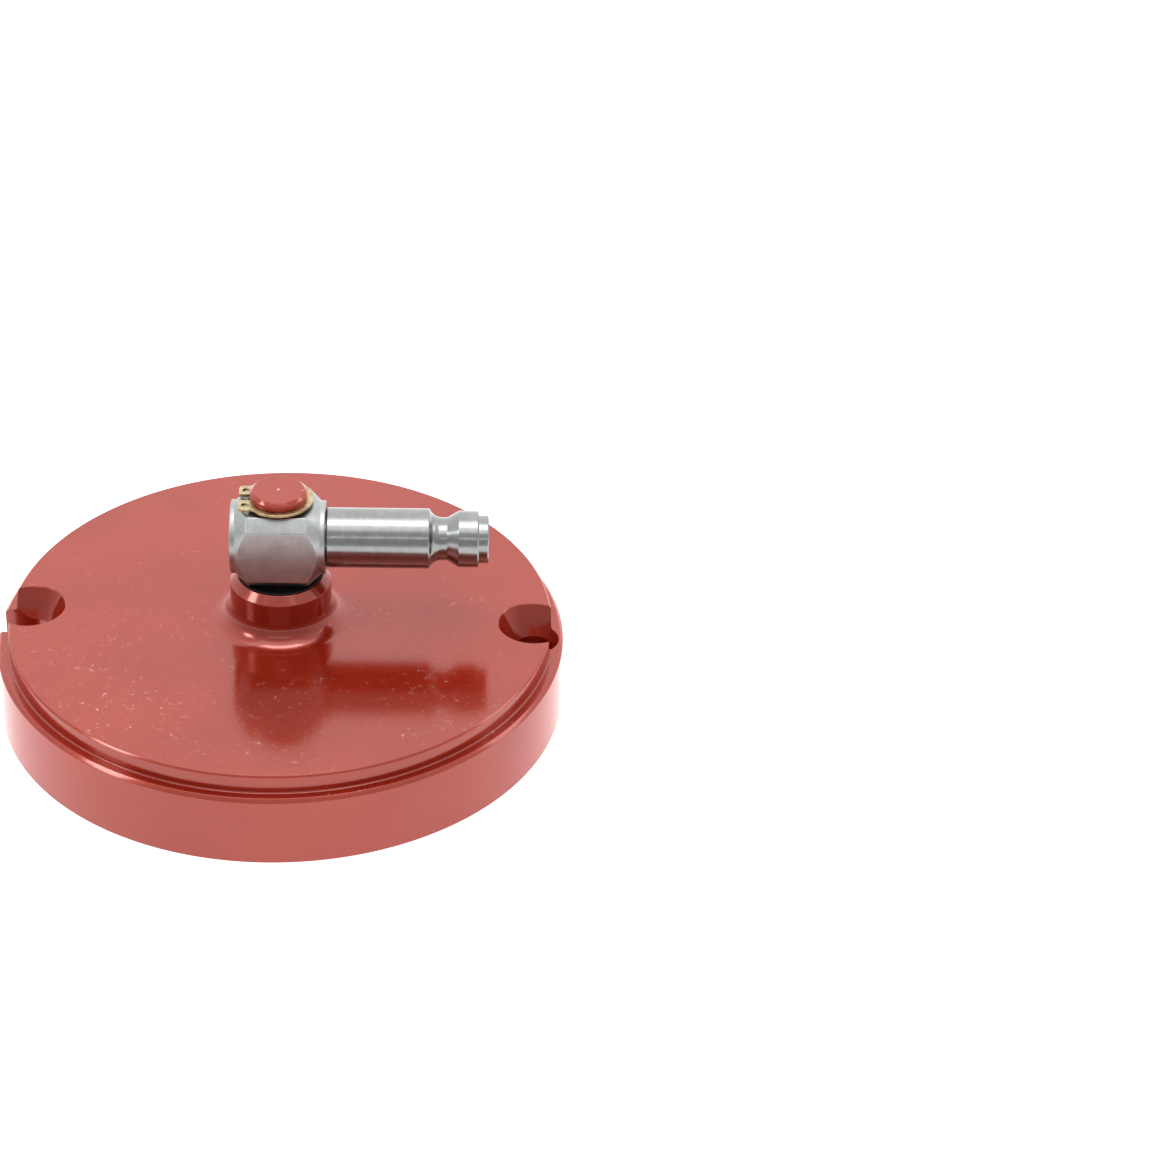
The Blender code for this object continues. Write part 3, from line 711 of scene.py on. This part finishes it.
def floor_finish(name, colour):
    """A lit white table: it glows evenly, takes a soft shadow, and can be seen through from below."""
    glow_share, glow_strength = 0.74, 1.5
    material = bpy.data.materials.new(name)
    material.use_nodes = True
    tree = material.node_tree
    tree.nodes.clear()
    place = add_node(tree, "ShaderNodeTexCoord").outputs["Object"]
    clouds = spread(tree, noise(tree, place, 3.0), 0.3, 0.7, 0.0, 1.0)
    tone = blend_colour(tree, clouds, toned(colour, 0.985), toned(colour, 1.0))
    lit = add_node(tree, "ShaderNodeBsdfDiffuse", {"Color": tone}).outputs[0]
    glow = add_node(tree, "ShaderNodeEmission", {"Color": tone, "Strength": glow_strength}).outputs[0]
    both = add_node(tree, "ShaderNodeMixShader", {"Fac": glow_share, 1: lit, 2: glow}).outputs[0]
    clear = add_node(tree, "ShaderNodeBsdfTransparent").outputs[0]
    back = add_node(tree, "ShaderNodeNewGeometry").outputs["Backfacing"]
    shown = add_node(tree, "ShaderNodeMixShader", {"Fac": back, 1: both, 2: clear}).outputs[0]
    tree.links.new(shown, add_node(tree, "ShaderNodeOutputMaterial").inputs["Surface"])
    return material


# Studio -------------------------------------------------------------------------------------


def add_floor(colour):
    """A wide flat square, a hair under the housing's lowest face."""
    reach, drop = 5.0, 0.00002
    corners = np.array([(-1, -1), (1, -1), (1, 1), (-1, 1)]) * reach
    mesh = bpy.data.meshes.new("floor")
    mesh.from_pydata(np.c_[corners, np.full(4, -drop)].tolist(), [], [(0, 1, 2, 3)])
    mesh.materials.append(floor_finish("lit_table", colour))
    floor = bpy.data.objects.new("floor", mesh)
    bpy.context.scene.collection.objects.link(floor)


def add_softbox(name, place, size, radiance):
    """A square light that faces the part's middle. Its power is radiance x pi x area."""
    middle = Vector((0, 0, 0.03))
    light = bpy.data.lights.new(name, "AREA")
    light.shape = "RECTANGLE"
    light.size, light.size_y = size
    light.energy = radiance * math.pi * size[0] * size[1]
    box = bpy.data.objects.new(name, light)
    bpy.context.scene.collection.objects.link(box)
    box.location = place
    box.rotation_euler = (middle - Vector(place)).to_track_quat("-Z", "Y").to_euler()


def white_surround(strength):
    """A white room: brightest high at the back, darker low at the front, and lit evenly below."""
    world = bpy.data.worlds.new("white_room")
    world.use_nodes = True
    tree = world.node_tree
    direction = add_node(tree, "ShaderNodeTexCoord").outputs["Generated"]
    height = add_node(tree, "ShaderNodeSeparateXYZ", {0: direction}).outputs["Z"]
    above = spread(tree, along(tree, direction, (0.0, 0.80, 0.60)), -0.3, 0.95, 0.55, 1.32)
    tone = calculate(tree, "MAXIMUM", above, spread(tree, height, -0.3, -0.05, 1.55, 0.0))
    colour = add_node(tree, "ShaderNodeCombineColor", {0: tone, 1: tone, 2: tone}).outputs[0]
    background = tree.nodes["Background"]
    tree.links.new(colour, background.inputs["Color"])
    background.inputs["Strength"].default_value = strength
    bpy.context.scene.world = world


def add_camera():
    """A long lens that looks down on the part from in front, with the part at the left of its view.

    The camera stands back from the middle of the plateau, at an azimuth and an elevation. It is
    rolled a little, and then aimed aside and up by the tangents of two small angles.
    """
    azimuth, elevation, distance = math.radians(6.3), math.radians(34.17), 0.5973
    roll, aside, rise = math.radians(-1.55), 0.09039, 0.008725
    back = np.array([math.sin(azimuth) * math.cos(elevation), -math.cos(azimuth) * math.cos(elevation),
                     math.sin(elevation)])
    right = unit(np.cross([0, 0, 1], back))
    up = np.cross(back, right)
    level = math.cos(roll) * right + math.sin(roll) * up
    plumb = -math.sin(roll) * right + math.cos(roll) * up
    ahead = unit(-back + aside * level + rise * plumb)
    level = unit(np.cross(ahead, plumb))
    plumb = np.cross(level, ahead)
    place = back * distance + (0, 0, PLATEAU * MM)
    camera = bpy.data.cameras.new("camera")
    camera.lens, camera.sensor_width = 103.25, 36.0
    camera.clip_start, camera.clip_end = 0.01, 50.0
    viewpoint = bpy.data.objects.new("camera", camera)
    bpy.context.scene.collection.objects.link(viewpoint)
    axes = np.stack([level, plumb, -ahead, place], axis=1)
    viewpoint.matrix_world = Matrix(np.vstack([axes, (0, 0, 0, 1)]))
    bpy.context.scene.camera = viewpoint


# Add-on -------------------------------------------------------------------------------------


def tone_property(name, description, default):
    """A colour in the sidebar."""
    return FloatVectorProperty(
        name=name, description=description, default=default, size=3, subtype="COLOR", min=0, max=1)


class SuctionCupSizes(bpy.types.PropertyGroup):
    """Sizes that can change the look without changing how the parts fit."""

    turning_steps: IntProperty(
        name="Turning steps", description="Facets round the housing and the pad",
        default=360, min=48, max=512)
    fine_steps: IntProperty(
        name="Fine turning steps", description="Facets round the small turned pieces",
        default=160, min=32, max=512)
    rest_turn: FloatProperty(
        name="Rest turn", description="Turn of the swivel from the screw hole at rest",
        default=REST_TURN, subtype="ANGLE")
    clip_turn: FloatProperty(
        name="Circlip turn", description="Turn of the circlip's gap from the slot",
        default=math.radians(4), subtype="ANGLE")
    block_edge: FloatProperty(
        name="Block edge", description="Width of the broken edges of the block",
        default=0.00011, unit="LENGTH", subtype="DISTANCE", precision=5)


class SuctionCupColours(bpy.types.PropertyGroup):
    """Colours of the finishes and the strength of the studio."""

    housing: tone_property("Housing", "Dye of the anodised housing", (0.300, 0.025, 0.0070))
    steel: tone_property("Steel", "Tone of the block and the screw", (0.40, 0.41, 0.41))
    nipple: tone_property("Nipple", "Tone of the turned nipple", (0.31, 0.318, 0.315))
    zinc: tone_property("Zinc", "Tone of the plated circlip", (0.47, 0.39, 0.25))
    rubber: tone_property("Rubber", "Tone of the pad and the seals", (0.010, 0.0115, 0.0145))
    plastic: tone_property("Plastic", "Tone of the thrust washer", (0.004, 0.004, 0.004))
    aluminium: tone_property("Aluminium", "Tone of the plain former", (0.72, 0.72, 0.73))
    floor: tone_property("Floor", "Tone of the floor", (0.97, 0.97, 0.97))
    daylight: FloatProperty(
        name="Surround", description="Brightness of the white surround", default=0.95, min=0, max=5)


class SUCTIONCUP_OT_housing(bpy.types.Operator):
    """Turn the housing and cut its screw hole, slot and cross hole"""

    bl_idname = "suction_cup.housing"
    bl_label = "Housing"

    def execute(self, context):
        sizes, colours = context.scene.suction_cup_sizes, context.scene.suction_cup_colours
        hole, reach = 1.4, 7.0
        piece = add_piece("housing_turned", *turned_surface(housing_profile(), sizes.turning_steps))
        ports = [turned_cutter(f"port_cutter_{i}", port_profile(), lambda p, x=x: p + (x, 0, 0))
                 for i, x in enumerate((PORT_REACH, -PORT_REACH))]
        slot = add_piece("slot_cutter", *prism(slot_outline(), RING_FACE - OVERRUN, PLATEAU + OVERRUN))
        cross_rows = [(0, reach), (hole, reach), (hole, -reach), (0, -reach)]
        cross = turned_cutter("cross_hole_cutter", cross_rows, lambda p: on_swivel(p, 0), 32)
        cut_away(piece, [*ports, slot, cross])
        finish = anodised_finish("red_anodised_skin", tuple(colours.housing))
        finish_piece(piece, "cup", "housing", finish)
        return {"FINISHED"}


class SUCTIONCUP_OT_pad(bpy.types.Operator):
    """Mould the domed rubber pad"""

    bl_idname = "suction_cup.pad"
    bl_label = "Pad"

    def execute(self, context):
        sizes, colours = context.scene.suction_cup_sizes, context.scene.suction_cup_colours
        piece = add_piece("pad_skin", *turned_surface(pad_profile(), sizes.turning_steps, closed=True))
        finish = rubber_finish("pad_rubber", tuple(colours.rubber))
        finish_piece(piece, "cup", "suction_pad", finish)
        return {"FINISHED"}


class SUCTIONCUP_OT_centre_screw(bpy.types.Operator):
    """Turn the hollow centre screw"""

    bl_idname = "suction_cup.centre_screw"
    bl_label = "Centre screw"

    def execute(self, context):
        sizes, colours = context.scene.suction_cup_sizes, context.scene.suction_cup_colours
        surface = turned_surface(screw_profile(), sizes.fine_steps, closed=True)
        piece = add_piece("centre_screw_turned", *surface)
        finish = steel_finish(
            "screw_face_steel", tuple(colours.steel), mask=ACROSS_Z, roughness=0.3, pitch=0.1, depth=0.0025)
        finish_piece(piece, "cup", "centre_screw", finish)
        return {"FINISHED"}


class SUCTIONCUP_OT_block(bpy.types.Operator):
    """Machine the swivel block from square bar"""

    bl_idname = "suction_cup.block"
    bl_label = "Swivel block"

    def execute(self, context):
        sizes, colours = context.scene.suction_cup_sizes, context.scene.suction_cup_colours
        turn = math.degrees(sizes.rest_turn)
        piece = add_piece("swivel_block_milled", *block_surface(turn))
        bevel = piece.modifiers.new("broken edges", "BEVEL")
        bevel.width = sizes.block_edge
        bevel.segments = 2
        bevel.limit_method = "ANGLE"
        bevel.angle_limit = math.radians(30)
        low, high = BLOCK_TOP - 2 * BLOCK_HALF, BLOCK_TOP
        bore, chamfer = 5.1, 0.3
        mouth = bore + chamfer + OVERRUN
        bore_rows = [(0, high + OVERRUN), (mouth, high + OVERRUN), (bore, high - chamfer),
                     (bore, low + chamfer), (mouth, low - OVERRUN), (0, low - OVERRUN)]
        seat, seat_floor, socket, front, middle = 4.95, 6.9, 4.15, 10, 2
        seat_rows = [(0, front), (seat, front), (seat, seat_floor), (socket, seat_floor),
                     (socket, middle), (0, middle)]
        cutters = [turned_cutter("block_bore_cutter", bore_rows),
                   turned_cutter("nipple_seat_cutter", seat_rows, lambda p: on_swivel(p, turn))]
        cut_away(piece, cutters)
        finish = steel_finish(
            "milled_steel", tuple(colours.steel), turn=turn, roughness=0.36, pitch=0.3, depth=0.0001,
            marks=0.05, rough_grain=0.0004)
        finish_piece(piece, "swivel", "swivel_block", finish)
        return {"FINISHED"}


class SUCTIONCUP_OT_nipple(bpy.types.Operator):
    """Turn the quick-coupling nipple"""

    bl_idname = "suction_cup.nipple"
    bl_label = "Nipple"

    def execute(self, context):
        sizes, colours = context.scene.suction_cup_sizes, context.scene.suction_cup_colours
        turn = math.degrees(sizes.rest_turn)
        points, faces = turned_surface(nipple_profile(), sizes.fine_steps, closed=True)
        piece = add_piece("nipple_turned", on_swivel(points, turn), faces)
        finish = steel_finish(
            "bright_turned_steel", tuple(colours.nipple), turn=turn, roughness=0.2, pitch=0.2, depth=0.0011,
            marks=0.3, rough_grain=0.0006)
        finish_piece(piece, "swivel", "coupling_nipple", finish)
        return {"FINISHED"}


class SUCTIONCUP_OT_circlip(bpy.types.Operator):
    """Stamp the circlip and punch its two lug holes"""

    bl_idname = "suction_cup.circlip"
    bl_label = "Circlip"

    def execute(self, context):
        sizes, colours = context.scene.suction_cup_sizes, context.scene.suction_cup_colours
        turn = math.degrees(sizes.clip_turn)
        low, high = CLIP_BOX[0].z / MM, CLIP_BOX[1].z / MM
        hole, chamfer, past, hole_x, hole_y = 0.6, 0.1, 1.0, -5.7, 2.4
        piece = add_piece("circlip_stamped", *circlip_surface(turn, low, high))
        hole_rows = [(0, high + past), (hole + chamfer + past, high + past), (hole, high - chamfer),
                     (hole, low - past), (0, low - past)]
        places = [lambda p, y=y: spun(p + (hole_x, y, 0), turn) for y in (-hole_y, hole_y)]
        cutters = [turned_cutter(f"lug_hole_cutter_{i}", hole_rows, place, 48)
                   for i, place in enumerate(places)]
        cut_away(piece, cutters)
        finish = zinc_finish("yellow_zinc_plate", tuple(colours.zinc))
        finish_piece(piece, "cup", "circlip", finish)
        return {"FINISHED"}


class SUCTIONCUP_OT_washer(bpy.types.Operator):
    """Turn the black thrust washer"""

    bl_idname = "suction_cup.washer"
    bl_label = "Thrust washer"

    def execute(self, context):
        sizes, colours = context.scene.suction_cup_sizes, context.scene.suction_cup_colours
        surface = turned_surface(washer_profile(), sizes.fine_steps, closed=True)
        piece = add_piece("thrust_washer_turned", *surface)
        finish = plastic_finish("black_nylon_finish", tuple(colours.plastic))
        finish_piece(piece, "cup", "thrust_washer", finish)
        return {"FINISHED"}


class SUCTIONCUP_OT_inner_parts(bpy.types.Operator):
    """Give the seals and the former, which stay as they are, their finishes"""

    bl_idname = "suction_cup.inner_parts"
    bl_label = "Inner parts"

    def execute(self, context):
        colours = context.scene.suction_cup_colours
        seal = rubber_finish("seal_rubber", tuple(colours.rubber), lint=0.0)
        former = steel_finish(
            "plain_aluminium_turned", tuple(colours.aluminium), mask=ACROSS_Z, roughness=0.3)
        seals = ("lower_o_ring", "upper_o_ring", "nipple_o_ring", "screw_o_ring")
        for name, finish in {**dict.fromkeys(seals, seal), "pad_former": former}.items():
            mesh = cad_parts[name].data
            mesh.materials.clear()
            mesh.materials.append(finish)
        return {"FINISHED"}


class SUCTIONCUP_OT_stage(bpy.types.Operator):
    """Set up the pale floor, the soft lights and the camera"""

    bl_idname = "suction_cup.stage"
    bl_label = "Stage"

    def execute(self, context):
        colours = context.scene.suction_cup_colours
        add_floor(tuple(colours.floor))
        white_surround(colours.daylight)
        for name, place, size, radiance in SOFTBOXES:
            add_softbox(name, place, size, radiance)
        add_camera()
        context.scene.view_settings.view_transform = "Standard"
        context.scene.view_settings.look = "Medium High Contrast"
        return {"FINISHED"}


class SUCTIONCUP_PT_panel(bpy.types.Panel):
    """Lists the sizes, the colours and the steps that build the suction cup"""

    bl_label = "Suction Cup"
    bl_idname = "SUCTIONCUP_PT_panel"
    bl_space_type = "VIEW_3D"
    bl_region_type = "UI"
    bl_category = "Suction Cup"

    def draw(self, context):
        for group in (context.scene.suction_cup_sizes, context.scene.suction_cup_colours):
            box = self.layout.box()
            for name in group.__annotations__:
                box.prop(group, name)
        for operator in OPERATORS:
            self.layout.operator(operator.bl_idname)


GROUPS = (SuctionCupSizes, SuctionCupColours)
OPERATORS = (
    SUCTIONCUP_OT_housing, SUCTIONCUP_OT_pad, SUCTIONCUP_OT_centre_screw, SUCTIONCUP_OT_block,
    SUCTIONCUP_OT_nipple, SUCTIONCUP_OT_circlip, SUCTIONCUP_OT_washer, SUCTIONCUP_OT_inner_parts,
    SUCTIONCUP_OT_stage,
)


def register():
    for item in (*GROUPS, *OPERATORS, SUCTIONCUP_PT_panel):
        bpy.utils.register_class(item)
    bpy.types.Scene.suction_cup_sizes = PointerProperty(type=SuctionCupSizes)
    bpy.types.Scene.suction_cup_colours = PointerProperty(type=SuctionCupColours)


def unregister():
    del bpy.types.Scene.suction_cup_colours
    del bpy.types.Scene.suction_cup_sizes
    for item in reversed((*GROUPS, *OPERATORS, SUCTIONCUP_PT_panel)):
        bpy.utils.unregister_class(item)


def main():
    """Builds every piece in turn."""
    register()
    for operator in OPERATORS:
        family, name = operator.bl_idname.split(".")
        if getattr(getattr(bpy.ops, family), name)() != {"FINISHED"}:
            raise RuntimeError(f"{operator.bl_label} did not finish")


if __name__ == "__main__":
    main()
